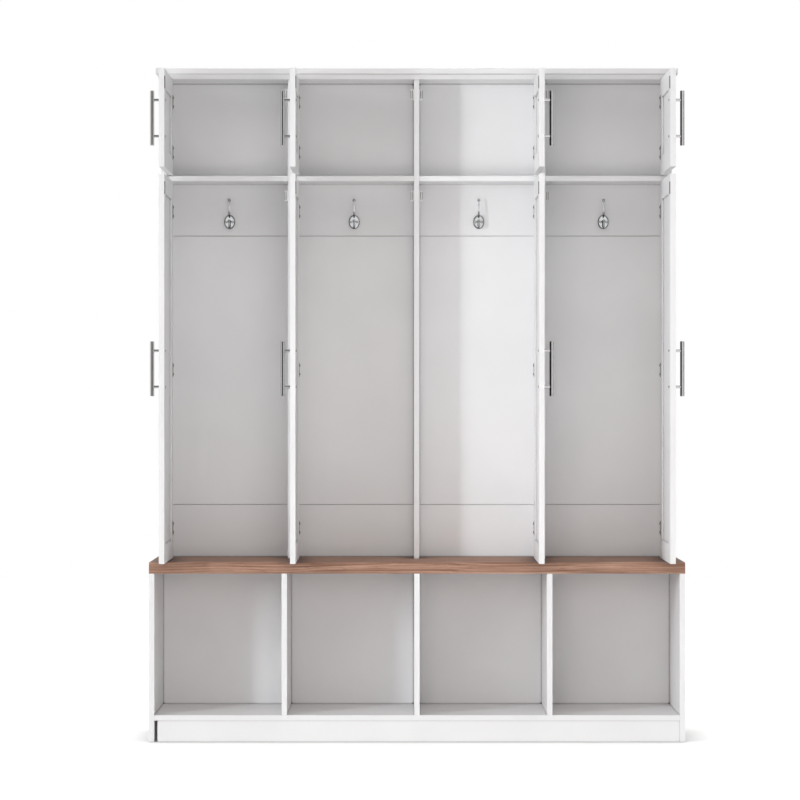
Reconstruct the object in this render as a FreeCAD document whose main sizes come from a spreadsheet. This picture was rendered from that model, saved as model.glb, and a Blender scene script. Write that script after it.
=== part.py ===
import FreeCAD, Part
import os
from math import tan
from operator import add, mul, sub, truediv
from types import SimpleNamespace

import Sketcher

# A hall tree: a bench over four open cubbies carries a shallow cabinet with four coat
# lockers and four cupboards above them, each closed by an inset framed door.
# X runs to the right, Y to the back and Z up. The origin is on the floor, under the
# middle of the base. Every door stands open at a right angle.

# Driving sizes in millimetres, with the words that stand beside them in the sheet.
SIZES = (
    ("overall_width", 1500, "width of the bench and of the base under it"),
    ("base_depth", 350, "depth of the bench and of the base"),
    ("bench_height", 503, "height of the seat above the floor"),
    ("bench_thickness", 32, "thickness of the bench top"),
    ("bench_rounding", 2, "rounding of the upper edges of the bench top"),
    ("board", 15, "thickness of every carcass board"),
    ("back_sheet", 5, "thickness of the thin back panels"),
    ("plinth_height", 60, "height of the plinth under the cubbies"),
    ("plinth_setback", 2, "how far the plinth stands behind the base front"),
    ("plinth_end_gap", 9, "gap between the plinth and the left base side"),
    ("cabinet_inset", 20, "how far each end of the cabinet stands in from the bench"),
    ("upper_depth", 140, "depth of the cabinet on the bench"),
    ("locker_height", 1080, "clear height of a coat locker"),
    ("cupboard_height", 276, "clear height of a cupboard"),
    ("cap_overhang", 16, "overhang of the cap board at the front and the ends"),
    ("crown_reach", 15, "how far the crown moulding stands out at its top"),
    ("crown_foot", 4, "how far the crown moulding stands out at its foot"),
    ("crown_lip", 2, "height of the upright lip on the crown moulding"),
    ("rail_height", 150, "height of the hook rail and of the lower rail"),
    ("seam_gap", 1.5, "width of the seam between a rail and the locker back"),
    ("seam_lap", 10, "how far a rail reaches behind the locker back"),
    ("fit_gap", 0.1, "clearance round screws, tongues and panels"),
    ("door_thickness", 15, "thickness of a door"),
    ("door_gap", 2, "gap all round a closed door"),
    ("stile_width", 60, "width of the upright members of a door"),
    ("door_rail_width", 52, "width of the level members of a door"),
    ("panel_thickness", 5, "thickness of the panel in a door"),
    ("groove_depth", 8, "depth of the groove that holds the panel"),
    ("panel_play", 1, "room left for the panel at the bottom of its groove"),
    ("hinge_height", 40, "height of a hinge"),
    ("leaf_thickness", 0.9, "thickness of a hinge leaf"),
    ("leaf_clearance", 0.3, "room between a leaf and the other leaf's knuckle"),
    ("frame_leaf_depth", 24, "how far the frame leaf reaches into the cabinet"),
    ("wrap_width", 18, "width of the flange on the inner face of the door"),
    ("barrel_diameter", 4, "diameter of the hinge knuckles"),
    ("pin_diameter", 2, "diameter of the hinge pin"),
    ("pin_clearance", 0.05, "clearance between the pin and the knuckles"),
    ("pin_cap", 1.5, "height of the round cap on each end of the pin"),
    ("middle_knuckle", 15, "height of the knuckle on the door leaf"),
    ("knuckle_gap", 0.3, "gap above and below the middle knuckle"),
    ("cupboard_hinge_inset", 64, "middle of a hinge from the end of a cupboard door"),
    ("locker_hinge_inset", 86, "middle of a hinge from the end of a locker door"),
    ("screw_spacing", 25, "distance between the two screws in a hinge leaf"),
    ("screw_shank", 3, "shank diameter of a wood screw"),
    ("screw_length", 10, "length of a wood screw below its head"),
    ("screw_head", 7, "head diameter of a wood screw"),
    ("screw_head_height", 2.4, "height of the round head of a wood screw"),
    ("sink_depth", 2.2, "depth of a countersunk head"),
    ("drive_length", 4, "length of each arm of the cross recess in a screw"),
    ("drive_width", 1.1, "width of each arm of the cross recess in a screw"),
    ("drive_depth", 1.3, "depth of the cross recess in a screw"),
    ("pull_spacing", 100, "distance between the posts of a pull"),
    ("bar_length", 152, "length of the bar of a pull"),
    ("bar_diameter", 12, "diameter of the bar of a pull"),
    ("bar_chamfer", 1, "chamfer at the ends of the bar"),
    ("post_diameter", 8, "diameter of the posts of a pull"),
    ("pull_projection", 21, "middle of the bar from the face of the door"),
    ("pull_inset", 34, "middle of the bar from the free edge of the door"),
    ("pull_screw", 4, "diameter of the screws that hold a pull"),
    ("pull_thread", 11, "how far a pull's screw reaches into its post"),
    ("pull_screw_head", 8, "head diameter of a pull's screw"),
    ("catch_height", 30, "height of a magnetic catch"),
    ("catch_width", 10, "how far a catch stands off the partition"),
    ("catch_depth", 14, "depth of the housing of a catch"),
    ("catch_flange", 2.5, "thickness of the fixing flange of a catch"),
    ("flange_depth", 14, "depth of the fixing flange behind the housing"),
    ("catch_drop", 41, "middle of a catch below the top of its opening"),
    ("catch_screw_length", 8, "length of a catch's screw below its head"),
    ("pole_thickness", 1.2, "thickness of the pole plates of a catch"),
    ("pole_height", 22, "height of the pole plates"),
    ("pole_depth", 8, "depth of the pole plates in the housing"),
    ("pole_stand", 0.4, "how far the pole plates stand out of the housing"),
    ("pole_spacing", 5, "distance between the pole plates"),
    ("strike_width", 14, "width of a strike plate"),
    ("strike_height", 34, "height of a strike plate"),
    ("strike_thickness", 2, "thickness of a strike plate"),
    ("strike_inset", 8.5, "middle of a strike plate from the free edge of its door"),
    ("strike_clearance", 0.4, "gap between a closed strike plate and its catch"),
    ("hook_rise", 40, "middle of a hook's plate above the lower edge of its rail"),
    ("plate_width", 31, "width of the oval plate of a hook"),
    ("plate_height", 40, "height of the oval plate of a hook"),
    ("plate_thickness", 5, "thickness of the plate of a hook"),
    ("plate_rounding", 3.5, "rounding of the plate's edge"),
    ("hook_screw_offset", 8.5, "screws of a hook from the middle of its plate"),
    ("prong_diameter", 5, "diameter of the prongs of a hook"),
    ("prong_ball", 8, "diameter of the ball at the tip of a prong"),
    ("coat_prong_reach", 23, "how far the upper prong stands out"),
    ("coat_prong_rise", 62, "tip of the upper prong above the middle of the plate"),
    ("coat_prong_root", 14, "root of the upper prong above the middle of the plate"),
    ("coat_prong_crest", 50, "where the upper prong starts to lean back"),
    ("coat_prong_lean", 5, "how far the tip of the upper prong leans back"),
    ("coat_prong_bend", 18, "radius of the bends in the upper prong"),
    ("bag_prong_reach", 25, "how far the lower prong stands out"),
    ("bag_prong_tip", 2, "tip of the lower prong above the middle of the plate"),
    ("bag_prong_drop", 17, "lowest line of the lower prong below the middle of the plate"),
    ("bag_prong_root", 7, "root of the lower prong below the middle of the plate"),
    ("bag_prong_slope", 8, "where the lower prong starts to bend down"),
    ("bag_prong_bend", 6, "radius of the bends in the lower prong"),
    ("dowel_diameter", 8, "diameter of the dowels between the boards"),
    ("dowel_length", 30, "length of the dowels"),
    ("dowel_depth", 10, "how far a dowel enters the board above or below the upright"),
    ("dowel_end_room", 1, "room left beyond each end of a dowel"),
    ("dowel_inset", 30, "middle of a dowel from the front or back edge of an upright"),
)

COLUMNS = 4
DOC = FreeCAD.newDocument("hall_tree")
SHEET = DOC.addObject("Spreadsheet::Sheet", "Sizes")
SIGNS = {"+": add, "-": sub, "*": mul, "/": truediv}
DIRECTIONS = {
    "up": FreeCAD.Vector(0, 0, 1),
    "right": FreeCAD.Vector(1, 0, 0),
    "left": FreeCAD.Vector(-1, 0, 0),
    "front": FreeCAD.Vector(0, -1, 0),
}
NODES = []


class Length:
    """A length in millimetres and the formula that ties it to the cells of the sheet."""

    def __init__(self, formula, value):
        self.formula = formula
        self.value = value

    def __add__(self, other):
        return worked_out(self, "+", other)

    def __radd__(self, other):
        return worked_out(other, "+", self)

    def __sub__(self, other):
        return worked_out(self, "-", other)

    def __rsub__(self, other):
        return worked_out(other, "-", self)

    def __mul__(self, other):
        return worked_out(self, "*", other)

    def __rmul__(self, other):
        return worked_out(other, "*", self)

    def __truediv__(self, other):
        return worked_out(self, "/", other)

    def __neg__(self):
        return worked_out(0, "-", self)


def as_length(number):
    """Takes a length as it is and makes a plain number one."""
    if isinstance(number, Length):
        return number
    return Length(f"({number})", number)


def worked_out(left, sign, right):
    """Joins two lengths by one sign, in their formula and in their value."""
    left = as_length(left)
    right = as_length(right)
    formula = f"({left.formula} {sign} {right.formula})"
    return Length(formula, SIGNS[sign](left.value, right.value))


def fill_sheet():
    """Writes the driving sizes into the sheet and gives each one as a length."""
    for row, (alias, value, words) in enumerate(SIZES, start=1):
        SHEET.set(f"A{row}", words)
        SHEET.set(f"B{row}", str(value))
        SHEET.setAlias(f"B{row}", alias)
    DOC.recompute()
    return {alias: Length(f"Sizes.{alias}", SHEET.get(alias)) for alias, _, _ in SIZES}


def bind(thing, name, length):
    """Ties one property of an object to a length."""
    thing.setExpression(name, as_length(length).formula)


def place(thing, at, points="up"):
    """Puts an object at a point, with its own upward direction turned to the one named."""
    turn = FreeCAD.Rotation(DIRECTIONS["up"], DIRECTIONS[points])
    thing.Placement = FreeCAD.Placement(FreeCAD.Vector(), turn)
    for letter, length in zip("xyz", at):
        bind(thing, f"Placement.Base.{letter}", length)
    return thing


def block(name, low, high):
    """A box between two corners."""
    solid = DOC.addObject("Part::Box", name)
    for side, start, end in zip(("Length", "Width", "Height"), low, high):
        bind(solid, side, end - start)
    return place(solid, low)


def rod(name, diameter, length, at, points="up"):
    """A cylinder that starts at a point."""
    solid = DOC.addObject("Part::Cylinder", name)
    bind(solid, "Radius", diameter / 2)
    bind(solid, "Height", length)
    return place(solid, at, points)


def ball(name, diameter, at):
    """A sphere about a point."""
    solid = DOC.addObject("Part::Sphere", name)
    bind(solid, "Radius", diameter / 2)
    return place(solid, at)


def group(name, pieces, at=(0, 0, 0), points="up"):
    """Separate pieces held together and moved as one."""
    pieces_together = DOC.addObject("Part::Compound", name)
    pieces_together.Links = pieces
    return place(pieces_together, at, points)


def fuse(name, pieces):
    """One solid made of pieces that run into each other."""
    solid = DOC.addObject("Part::MultiFuse", name)
    solid.Shapes = pieces
    return solid


def cut(name, solid, holes):
    """A solid with holes taken out of it."""
    drilled = DOC.addObject("Part::Cut", name)
    drilled.Base = solid
    drilled.Tool = group(name + "_holes", holes)
    return drilled


def mirror(name, piece):
    """The same piece on the other side of the middle of the hall tree."""
    twin = DOC.addObject("Part::Mirroring", name)
    twin.Source = piece
    twin.Base = FreeCAD.Vector(0, 0, 0)
    twin.Normal = DIRECTIONS["right"]
    return twin


def node(label, piece):
    """Names a finished piece, or a group of like pieces, for its own file."""
    piece.Label = label
    NODES.append(piece)
    return piece


def hold_point(sketch, line, kind, axis, length):
    """Holds the start of a line at a distance from one axis of its sketch."""
    if length.value == 0:
        sketch.addConstraint(Sketcher.Constraint("PointOnObject", line, 1, axis))
        return
    number = sketch.addConstraint(Sketcher.Constraint(kind, -1, 1, line, 1, length.value))
    bind(sketch, f"Constraints[{number}]", length)


def outline(body, role, corners):
    """Draws a closed outline of straight lines on one of a body's own planes."""
    sketch = body.newObject("Sketcher::SketchObject", body.Name + "_outline")
    plane = [feature for feature in body.Origin.OriginFeatures if feature.Role == role][0]
    sketch.AttachmentSupport = (plane, [""])
    sketch.MapMode = "FlatFace"
    corners = [(as_length(across), as_length(along)) for across, along in corners]
    points = [FreeCAD.Vector(across.value, along.value, 0) for across, along in corners]
    for here, there in zip(points, points[1:] + points[:1]):
        sketch.addGeometry(Part.LineSegment(here, there))
    for line, (across, along) in enumerate(corners):
        following = (line + 1) % len(corners)
        sketch.addConstraint(Sketcher.Constraint("Coincident", line, 2, following, 1))
        hold_point(sketch, line, "DistanceX", -2, across)
        hold_point(sketch, line, "DistanceY", -1, along)
    return sketch


def padded(name, role, corners, thickness):
    """A body padded from an outline."""
    body = DOC.addObject("PartDesign::Body", name)
    sketch = outline(body, role, corners)
    pad = body.newObject("PartDesign::Pad", name + "_pad")
    pad.Profile = sketch
    bind(pad, "Length", thickness)
    return body


def turned(name, half_section):
    """A body turned about its own upright axis from half of its section."""
    body = DOC.addObject("PartDesign::Body", name)
    sketch = outline(body, "XZ_Plane", half_section)
    turning = body.newObject("PartDesign::Revolution", name + "_turning")
    turning.Profile = sketch
    turning.ReferenceAxis = (sketch, ["V_Axis"])
    turning.Angle = 360
    return body


def bent_rod(name, diameter, corners, bend):
    """A round rod through corners in the middle plane, each rounded by the same bend."""
    points = [FreeCAD.Vector(0, as_length(y).value, as_length(z).value) for y, z in corners]
    edges = []
    start = points[0]
    for before, corner, after in zip(points, points[1:], points[2:]):
        back = (before - corner).normalize()
        onward = (after - corner).normalize()
        reach = bend.value / tan(back.getAngle(onward) / 2)
        bisector = (back + onward).normalize()
        to_middle = FreeCAD.Vector(reach, bend.value, 0).Length - bend.value
        first = corner + back * reach
        last = corner + onward * reach
        edges.append(Part.makeLine(start, first))
        edges.append(Part.Arc(first, corner + bisector * to_middle, last).toShape())
        start = last
    edges.append(Part.makeLine(start, points[-1]))
    section = Part.Circle(points[0], points[1] - points[0], diameter.value / 2)
    solid = DOC.addObject("Part::Feature", name)
    solid.Shape = Part.Wire(edges).makePipeShell([Part.Wire(section.toShape())], True, False)
    return place(solid, (0, 0, 0))


S = SimpleNamespace(**fill_sheet())

# Places that the whole hall tree shares.
HALF = S.overall_width / 2
BASE_FRONT = -S.base_depth / 2
REAR = S.base_depth / 2
BACK_FACE = REAR - S.board
BENCH_UNDERSIDE = S.bench_height - S.bench_thickness
CUBBY_FLOOR = S.plinth_height + S.board
CUBBY_PITCH = (S.overall_width - S.board) / COLUMNS
UPPER_WIDTH = S.overall_width - 2 * S.cabinet_inset
UPPER_HALF = UPPER_WIDTH / 2
UPPER_FRONT = REAR - S.upper_depth
SHELF_UNDERSIDE = S.bench_height + S.locker_height
SHELF_TOP = SHELF_UNDERSIDE + S.board
TOP_UNDERSIDE = SHELF_TOP + S.cupboard_height
CAP_UNDERSIDE = TOP_UNDERSIDE + S.board
PITCH = (UPPER_WIDTH - S.board) / COLUMNS
OPENING = PITCH - S.board
FIRST_OPENING = S.board - UPPER_HALF

# Places on a door, seen from the front corner of the panel that carries its hinges.
PIVOT = (S.door_gap / 2, -S.barrel_diameter / 2)
SWING = (S.door_gap + S.barrel_diameter) / 2
DOOR_WIDTH = OPENING - 2 * S.door_gap
INNER_FACE = SWING + S.door_thickness
FREE_EDGE = -(SWING + DOOR_WIDTH)
PANEL_MIDDLE = SWING + S.door_thickness / 2


def dowel_marks(uprights, front, back):
    """Middles of the dowels in the end of each upright board, two to a board."""
    rows = (front + S.dowel_inset, back - S.dowel_inset)
    return [(middle, row) for middle in uprights for row in rows]


def dowels(name, marks, joint, above):
    """Dowels across a level joint, deeper in the upright, which is above or below it."""
    lift = -S.dowel_depth if above else S.dowel_depth - S.dowel_length
    return [
        rod(f"{name}_{number}", S.dowel_diameter, S.dowel_length, (x, y, joint + lift))
        for number, (x, y) in enumerate(marks)
    ]


def dowel_holes(name, marks, joint, above):
    """Holes for dowels, with the fit's clearance round them and room beyond their ends."""
    lift = -S.dowel_depth if above else S.dowel_depth - S.dowel_length
    bottom = joint + lift - S.dowel_end_room
    width = S.dowel_diameter + 2 * S.fit_gap
    length = S.dowel_length + 2 * S.dowel_end_room
    return [
        rod(f"{name}_{number}", width, length, (x, y, bottom))
        for number, (x, y) in enumerate(marks)
    ]


BASE_UPRIGHTS = [S.board / 2 - HALF + CUBBY_PITCH * number for number in range(COLUMNS + 1)]
UPPER_UPRIGHTS = [S.board / 2 - UPPER_HALF + PITCH * number for number in range(COLUMNS + 1)]
BASE_MARKS = dowel_marks(BASE_UPRIGHTS, BASE_FRONT, BACK_FACE)
UPPER_MARKS = dowel_marks(UPPER_UPRIGHTS, UPPER_FRONT, BACK_FACE)
BENCH_LOWER_HOLES = dowel_holes("seat_lower_hole", BASE_MARKS, BENCH_UNDERSIDE, False)
BENCH_UPPER_HOLES = dowel_holes("seat_upper_hole", UPPER_MARKS, S.bench_height, True)
TOP_HOLES = dowel_holes("top_hole", UPPER_MARKS, TOP_UNDERSIDE, False)


def build_bench():
    """The bench top, with its upper edges rounded and holes for the dowels."""
    corners = ((0, 0), (S.overall_width, 0), (S.overall_width, S.base_depth), (0, S.base_depth))
    body = padded("bench_board", "XY_Plane", corners, S.bench_thickness)
    DOC.recompute()
    pad = body.Tip
    edges = enumerate(pad.Shape.Edges, start=1)
    upper = [f"Edge{number}" for number, edge in edges
             if edge.BoundBox.ZMin > S.bench_thickness.value / 2]
    rounding = body.newObject("PartDesign::Fillet", "bench_rounding")
    rounding.Base = (pad, upper)
    bind(rounding, "Radius", S.bench_rounding)
    place(body, (-HALF, BASE_FRONT, BENCH_UNDERSIDE))
    node("bench_top", cut("bench_top", body, BENCH_LOWER_HOLES + BENCH_UPPER_HOLES))


def build_base():
    """The base under the bench: sides, dividers, floor, plinth and back."""
    inner = HALF - S.board
    board = block("base_side", (-HALF, BASE_FRONT, 0), (-inner, REAR, BENCH_UNDERSIDE))
    side = node("base_side_left", cut("base_side_left", board, BENCH_LOWER_HOLES))
    node("base_side_right", mirror("base_side_right", side))
    boards = []
    for middle in BASE_UPRIGHTS[1:-1]:
        low = (middle - S.board / 2, BASE_FRONT, CUBBY_FLOOR)
        high = (middle + S.board / 2, BACK_FACE, BENCH_UNDERSIDE)
        boards.append(block("base_divider", low, high))
    dividers = [cut("cubby_divider", board, BENCH_LOWER_HOLES) for board in boards]
    node("base_dividers", group("base_dividers", dividers))
    low = (-inner, BASE_FRONT, S.plinth_height)
    node("base_floor", block("base_floor", low, (inner, BACK_FACE, CUBBY_FLOOR)))
    plinth_face = BASE_FRONT + S.plinth_setback
    plinth_back = plinth_face + S.board
    low = (S.plinth_end_gap - inner, plinth_face, 0)
    node("plinth_front", block("plinth_front", low, (inner, plinth_back, S.plinth_height)))
    low = (-inner, BACK_FACE - S.board, 0)
    node("plinth_rear", block("plinth_rear", low, (inner, BACK_FACE, S.plinth_height)))
    low = (-S.board / 2, plinth_back, 0)
    high = (S.board / 2, BACK_FACE - S.board, S.plinth_height)
    node("centre_support", block("centre_support", low, high))
    low = (-inner, BACK_FACE, S.plinth_height)
    high = (inner, BACK_FACE + S.back_sheet, BENCH_UNDERSIDE)
    node("base_back", block("base_back", low, high))


def build_cabinet(hinge_holes, catch_holes):
    """The cabinet on the bench: sides, partitions, shelves, top and cap."""
    inner = UPPER_HALF - S.board
    holes = BENCH_UPPER_HOLES + TOP_HOLES
    low = (-UPPER_HALF, UPPER_FRONT, S.bench_height)
    board = block("locker_side", low, (-inner, REAR, TOP_UNDERSIDE))
    side = cut("locker_side_left", board, holes + in_column(hinge_holes, 0))
    node("locker_side_left", side)
    node("locker_side_right", mirror("locker_side_right", side))
    boards = []
    for middle in UPPER_UPRIGHTS[1:-1]:
        low = (middle - S.board / 2, UPPER_FRONT, S.bench_height)
        high = (middle + S.board / 2, BACK_FACE, TOP_UNDERSIDE)
        boards.append(block("partition_board", low, high))
    fixings = in_column(catch_holes, 0) + in_column(hinge_holes, 1)
    partition = node("partition_left", cut("partition_left", boards[0], holes + fixings))
    node("partition_right", mirror("partition_right", partition))
    left_fixings = in_column(catch_holes, 1)
    right_fixings = [mirror("catch_hole_right", fixing) for fixing in left_fixings]
    fixings = left_fixings + right_fixings
    node("partition_centre", cut("partition_centre", boards[1], holes + fixings))
    shelves = []
    for column in range(COLUMNS):
        left = FIRST_OPENING + PITCH * column
        low = (left, UPPER_FRONT, SHELF_UNDERSIDE)
        shelves.append(block("shelf", low, (left + OPENING, BACK_FACE, SHELF_TOP)))
    node("cupboard_shelves", group("cupboard_shelves", shelves))
    low = (-UPPER_HALF, UPPER_FRONT, TOP_UNDERSIDE)
    board = block("top_board", low, (UPPER_HALF, REAR, CAP_UNDERSIDE))
    node("top_panel", cut("top_panel", board, TOP_HOLES))
    reach = UPPER_HALF + S.cap_overhang
    low = (-reach, UPPER_FRONT - S.cap_overhang, CAP_UNDERSIDE)
    node("cap_board", block("cap_board", low, (reach, REAR, CAP_UNDERSIDE + S.board)))


def build_backs(hook_holes):
    """The boards and thin panels behind the lockers and the cupboards."""
    inner = UPPER_HALF - S.board
    sheet_rear = BACK_FACE + S.back_sheet
    lower_top = S.bench_height + S.rail_height
    hook_bottom = SHELF_UNDERSIDE - S.rail_height
    lap_top = lower_top + S.seam_lap
    lap_bottom = hook_bottom - S.seam_lap
    low = (-inner, BACK_FACE, S.bench_height)
    board = block("lower_board", low, (inner, REAR, lap_top))
    low = (-inner, BACK_FACE, lower_top)
    rebate = block("lower_rebate", low, (inner, sheet_rear, lap_top))
    node("lower_rail", cut("lower_rail", board, [rebate]))
    low = (-inner, BACK_FACE, lower_top + S.seam_gap)
    high = (inner, sheet_rear, hook_bottom - S.seam_gap)
    node("locker_back", block("locker_back", low, high))
    low = (-inner, BACK_FACE, lap_bottom)
    board = block("hook_board", low, (inner, REAR, SHELF_UNDERSIDE))
    rebate = block("hook_rebate", low, (inner, sheet_rear, hook_bottom))
    node("hook_rail", cut("hook_rail", board, [rebate] + hook_holes))
    low = (-inner, BACK_FACE, SHELF_UNDERSIDE)
    node("cupboard_back", block("cupboard_back", low, (inner, sheet_rear, TOP_UNDERSIDE)))


def build_crown():
    """The crown moulding under the cap: three lengths, mitred at the front corners."""
    depth = REAR - UPPER_FRONT
    profile = (
        (0, 0),
        (S.crown_foot, 0),
        (S.crown_reach, S.board - S.crown_lip),
        (S.crown_reach, S.board),
        (0, S.board),
    )
    run = depth + S.crown_reach
    side = padded("crown_side", "XZ_Plane", profile, run)
    place(side, (UPPER_HALF, REAR, TOP_UNDERSIDE))
    mitre_plan = (
        (0, S.crown_reach),
        (0, run),
        (S.crown_reach, run),
        (S.crown_reach, 0),
    )
    side_mitre = padded("crown_side_mitre", "XY_Plane", mitre_plan, S.board)
    place(side_mitre, (UPPER_HALF, UPPER_FRONT - S.crown_reach, TOP_UNDERSIDE))
    right = DOC.addObject("Part::Common", "crown_right")
    right.Base = side
    right.Tool = side_mitre
    length = UPPER_WIDTH + 2 * S.crown_reach
    across = tuple((S.crown_reach - out, up) for out, up in profile)
    front = padded("crown_front", "YZ_Plane", across, length)
    start = (-UPPER_HALF - S.crown_reach, UPPER_FRONT - S.crown_reach, TOP_UNDERSIDE)
    place(front, start)
    mitre_plan = (
        (0, 0),
        (length, 0),
        (length - S.crown_reach, S.crown_reach),
        (S.crown_reach, S.crown_reach),
    )
    front_mitre = padded("crown_front_mitre", "XY_Plane", mitre_plan, S.board)
    place(front_mitre, start)
    middle = DOC.addObject("Part::Common", "crown_middle")
    middle.Base = front
    middle.Tool = front_mitre
    left = mirror("crown_left", right)
    node("crown_moulding", group("crown_moulding", [left, middle, right]))


def build_dowels():
    """The dowels between the uprights, the bench top and the top panel."""
    pieces = dowels("base_dowel", BASE_MARKS, BENCH_UNDERSIDE, False)
    pieces += dowels("bench_dowel", UPPER_MARKS, S.bench_height, True)
    pieces += dowels("top_dowel", UPPER_MARKS, TOP_UNDERSIDE, False)
    node("assembly_dowels", group("assembly_dowels", pieces))


def in_column(pieces, column):
    """Fittings of one door opening, moved to one of the columns on the left."""
    at = (FIRST_OPENING + PITCH * column, UPPER_FRONT, 0)
    return [group(f"column_{column}_{piece.Name}", [piece], at) for piece in pieces]


def both_sides(label, pieces):
    """A node with the same fittings in all four columns, mirrored about the middle."""
    placed = [fitting for column in range(COLUMNS // 2) for fitting in in_column(pieces, column)]
    left = group(label + "_left", placed)
    return node(label, group(label, [left, mirror(label + "_right", left)]))


def recessed(name, screw, top):
    """A screw with a cross recess in the top of its head."""
    long = S.drive_length / 2
    short = S.drive_width / 2
    arms = []
    for number, (half_x, half_y) in enumerate(((long, short), (short, long))):
        low = (-half_x, -half_y, top - S.drive_depth)
        high = (half_x, half_y, top + S.fit_gap)
        arms.append(block(f"{name}_arm_{number}", low, high))
    return cut(name, screw, arms)


def round_screw(name, shank, length, head):
    """A screw with a round head, upright with the face that it holds at height zero."""
    blank = turned(name + "_blank", (
        (0, -length),
        (shank / 2, -length),
        (shank / 2, 0),
        (head / 2, 0),
        (head / 2, S.screw_head_height / 3),
        (head / 4, S.screw_head_height),
        (0, S.screw_head_height),
    ))
    return recessed(name, blank, S.screw_head_height)


def sunk_screw(name):
    """A countersunk screw, upright with the top of its head at height zero."""
    blank = turned(name + "_blank", (
        (0, -S.screw_length),
        (S.screw_shank / 2, -S.screw_length),
        (S.screw_shank / 2, -S.sink_depth),
        (S.screw_head / 2, 0),
        (0, 0),
    ))
    return recessed(name, blank, as_length(0))


def round_hole(name):
    """The hole for the shank of a round-headed screw, open a little above the face."""
    width = S.screw_shank + 2 * S.fit_gap
    depth = S.screw_length + S.fit_gap
    return rod(name, width, depth + S.leaf_thickness, (0, 0, -depth))


def sunk_hole(name):
    """The hole for a countersunk screw, open a little above the face."""
    shank = S.screw_shank / 2 + S.fit_gap
    head = S.screw_head / 2 + S.fit_gap
    bottom = -S.screw_length - S.fit_gap
    return turned(name, (
        (0, bottom),
        (shank, bottom),
        (shank, -S.sink_depth - S.fit_gap),
        (head, 0),
        (head, S.leaf_thickness),
        (0, S.leaf_thickness),
    ))


# Screws and holes that several fittings share.
ROUND_SCREW = round_screw("round_screw", S.screw_shank, S.screw_length, S.screw_head)
ROUND_HOLE = round_hole("round_hole")
SUNK_SCREW = sunk_screw("sunk_screw")
SUNK_HOLE = sunk_hole("sunk_hole")


def screw_pair(name, piece, x, y):
    """Two of a hinge leaf's screws, or their holes, one above the other."""
    heights = (-S.screw_spacing / 2, S.screw_spacing / 2)
    return [group(f"{name}_{row}", [piece], (x, y, height), "right")
            for row, height in enumerate(heights)]


def knuckle(name, bottom, top):
    """One knuckle of a hinge, before its bore."""
    return rod(name, S.barrel_diameter, top - bottom, (*PIVOT, bottom))


def hinge_bore():
    """The bore for the pin, through all the knuckles of a hinge."""
    width = S.pin_diameter + 2 * S.pin_clearance
    return rod("hinge_bore", width, S.hinge_height, (*PIVOT, -S.hinge_height / 2))


def build_hinge():
    """One hinge, about its own middle: frame leaf, door leaf, pin and the screws."""
    low_end = -S.hinge_height / 2
    high_end = S.hinge_height / 2
    middle = S.middle_knuckle / 2
    end_knuckle = middle + S.knuckle_gap
    bore = hinge_bore()
    leaf_y = S.frame_leaf_depth
    screw_y = S.door_thickness + (S.frame_leaf_depth - S.door_thickness) / 2
    plate = block("frame_plate", (0, S.leaf_clearance, low_end), (S.leaf_thickness, leaf_y, high_end))
    pieces = [plate]
    for number, (bottom, top) in enumerate(((low_end, -end_knuckle), (end_knuckle, high_end))):
        pieces.append(knuckle(f"frame_knuckle_{number}", bottom, top))
        low = (0, -S.barrel_diameter / 4, bottom)
        high = (S.leaf_thickness, S.leaf_clearance, top)
        pieces.append(block(f"frame_tab_{number}", low, high))
    sunk_holes = screw_pair("frame_screw_hole", SUNK_HOLE, S.leaf_thickness, screw_y)
    frame_leaf = cut("frame_leaf", fuse("frame_leaf_blank", pieces), [bore] + sunk_holes)
    sunk_screws = screw_pair("frame_screw", SUNK_SCREW, S.leaf_thickness, screw_y)
    edge_top = S.leaf_thickness - SWING
    flange_face = INNER_FACE + S.leaf_thickness
    low = (SWING + S.leaf_clearance, -SWING, low_end)
    edge_plate = block("door_plate", low, (flange_face, edge_top, high_end))
    low = (INNER_FACE, -SWING - S.wrap_width, low_end)
    flange = block("door_flange", low, (flange_face, edge_top, high_end))
    low = (PIVOT[0] + S.barrel_diameter / 4, -SWING, -middle)
    tab = block("door_tab", low, (SWING + S.leaf_clearance, edge_top, middle))
    pieces = [edge_plate, flange, tab, knuckle("door_knuckle", -middle, middle)]
    flange_y = -SWING - S.wrap_width / 2
    flange_holes = screw_pair("flange_hole", ROUND_HOLE, INNER_FACE, flange_y)
    door_leaf = cut("door_leaf", fuse("door_leaf_blank", pieces), [bore] + flange_holes)
    door_screws = screw_pair("flange_screw", ROUND_SCREW, flange_face, flange_y)
    pin = turned("hinge_pin", (
        (0, low_end - S.pin_cap),
        (S.barrel_diameter / 4, low_end - S.pin_cap),
        (S.barrel_diameter / 2, low_end - S.pin_cap / 2),
        (S.barrel_diameter / 2, low_end),
        (S.pin_diameter / 2, low_end),
        (S.pin_diameter / 2, high_end),
        (S.barrel_diameter / 2, high_end),
        (S.barrel_diameter / 2, high_end + S.pin_cap / 2),
        (S.barrel_diameter / 4, high_end + S.pin_cap),
        (0, high_end + S.pin_cap),
    ))
    return SimpleNamespace(
        frame=[frame_leaf] + sunk_screws,
        frame_holes=sunk_holes,
        pin=[group("hinge_pin_placed", [pin], (*PIVOT, 0))],
        door=[door_leaf] + door_screws,
        door_holes=flange_holes,
    )


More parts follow.
